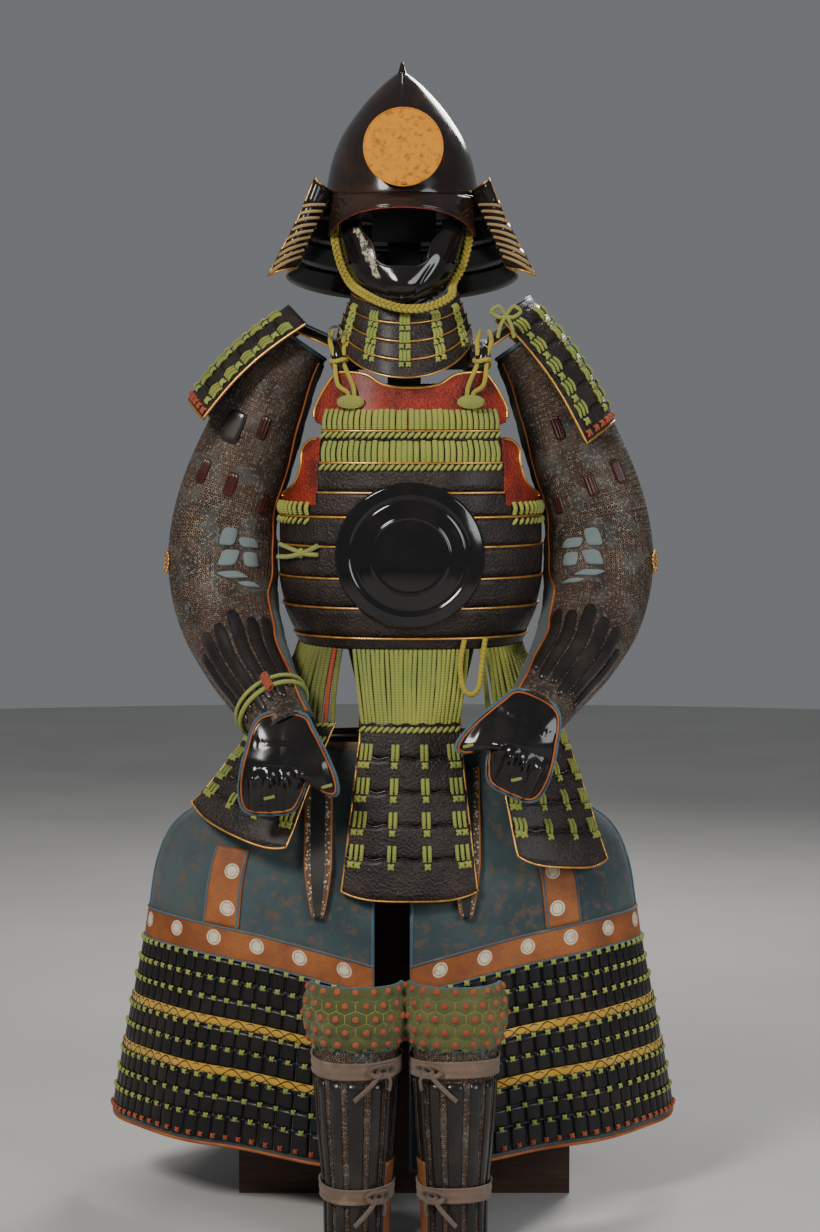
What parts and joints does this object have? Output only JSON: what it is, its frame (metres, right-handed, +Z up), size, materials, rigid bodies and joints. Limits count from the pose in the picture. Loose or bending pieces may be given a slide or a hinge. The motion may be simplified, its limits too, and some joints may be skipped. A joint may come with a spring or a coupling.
{
  "type": "samurai armour on a wooden chest and post",
  "caption": "Japanese lamellar armour on its wooden chest: gilt-disc helmet and face guard, laced cuirass, mail sleeves, tassets, thigh and shin guards.",
  "frame": {"origin": "On the floor, under the middle of the whole set: the centre of its box in X and Y, at the underside of the chest in Z.", "axes": "+Z is up. -Y is the side the armour faces, toward the viewer. +X is the viewer's right."},
  "size_m": [0.7954, 0.6752, 1.568],
  "materials": {
    "black_lacquer": "gloss",
    "brown_lacquer": "gloss",
    "grained_hide": "grained",
    "red_hide": "stippled",
    "gilt": "worn",
    "lacing": "braided",
    "yellow_braid": "braided",
    "mail_cloth": "mail on cloth",
    "blue_cloth": "woven",
    "orange_leather": "printed",
    "green_quilt": "quilted",
    "hemp": "woven",
    "wood": "dark stain"
  },
  "bodies": {
    "root": {"chest": "wood", "chest_lid_and_post": "wood", "helmet_bowl": "brown_lacquer", "helmet_disc": "gilt", "neck_guard": "black_lacquer", "face_guard": "black_lacquer", "throat_guard": "grained_hide", "cuirass_front": "grained_hide", "cuirass_back": "grained_hide", "chest_plate": "red_hide", "chest_roundel": "black_lacquer", "neck_flap_left": "gilt", "neck_flap_right": "gilt", "side_plate_left": "red_hide", "side_plate_right": "red_hide", "shoulder_strap_left": "grained_hide", "shoulder_strap_right": "grained_hide", "shoulder_wing_left": "black_lacquer", "shoulder_wing_right": "black_lacquer", "shoulder_guard_left": "grained_hide", "shoulder_guard_right": "grained_hide", "sleeve_left": "mail_cloth", "sleeve_right": "mail_cloth", "elbow_boss_left": "gilt", "elbow_boss_right": "gilt", "hand_guard_left": "black_lacquer", "hand_guard_right": "black_lacquer", "thigh_cloth_left": "blue_cloth", "thigh_cloth_right": "blue_cloth", "thigh_leather_left": "orange_leather", "thigh_leather_right": "orange_leather", "thigh_splints_left": "black_lacquer", "thigh_splints_right": "black_lacquer", "hip_tongue_left": "black_lacquer", "hip_tongue_right": "black_lacquer", "shin_guard_left": "black_lacquer", "shin_guard_right": "black_lacquer", "knee_pad_left": "green_quilt", "knee_pad_right": "green_quilt", "shin_tie_upper_left": "hemp", "shin_tie_upper_right": "hemp", "shin_tie_lower_left": "hemp", "shin_tie_lower_right": "hemp", "tasset_front": "grained_hide", "tasset_front_left": "grained_hide", "tasset_front_right": "grained_hide", "tasset_back_left": "grained_hide", "tasset_back_right": "grained_hide", "tasset_back": "grained_hide", "skirt_front": "lacing", "skirt_front_left": "lacing", "skirt_front_right": "lacing", "skirt_back_left": "lacing", "skirt_back_right": "lacing", "skirt_back": "lacing", "waistband": "blue_cloth", "chin_cord": "yellow_braid", "wrist_cord": "lacing", "chest_tie": "lacing", "waist_loop": "lacing"}
  },
  "joints": []
}
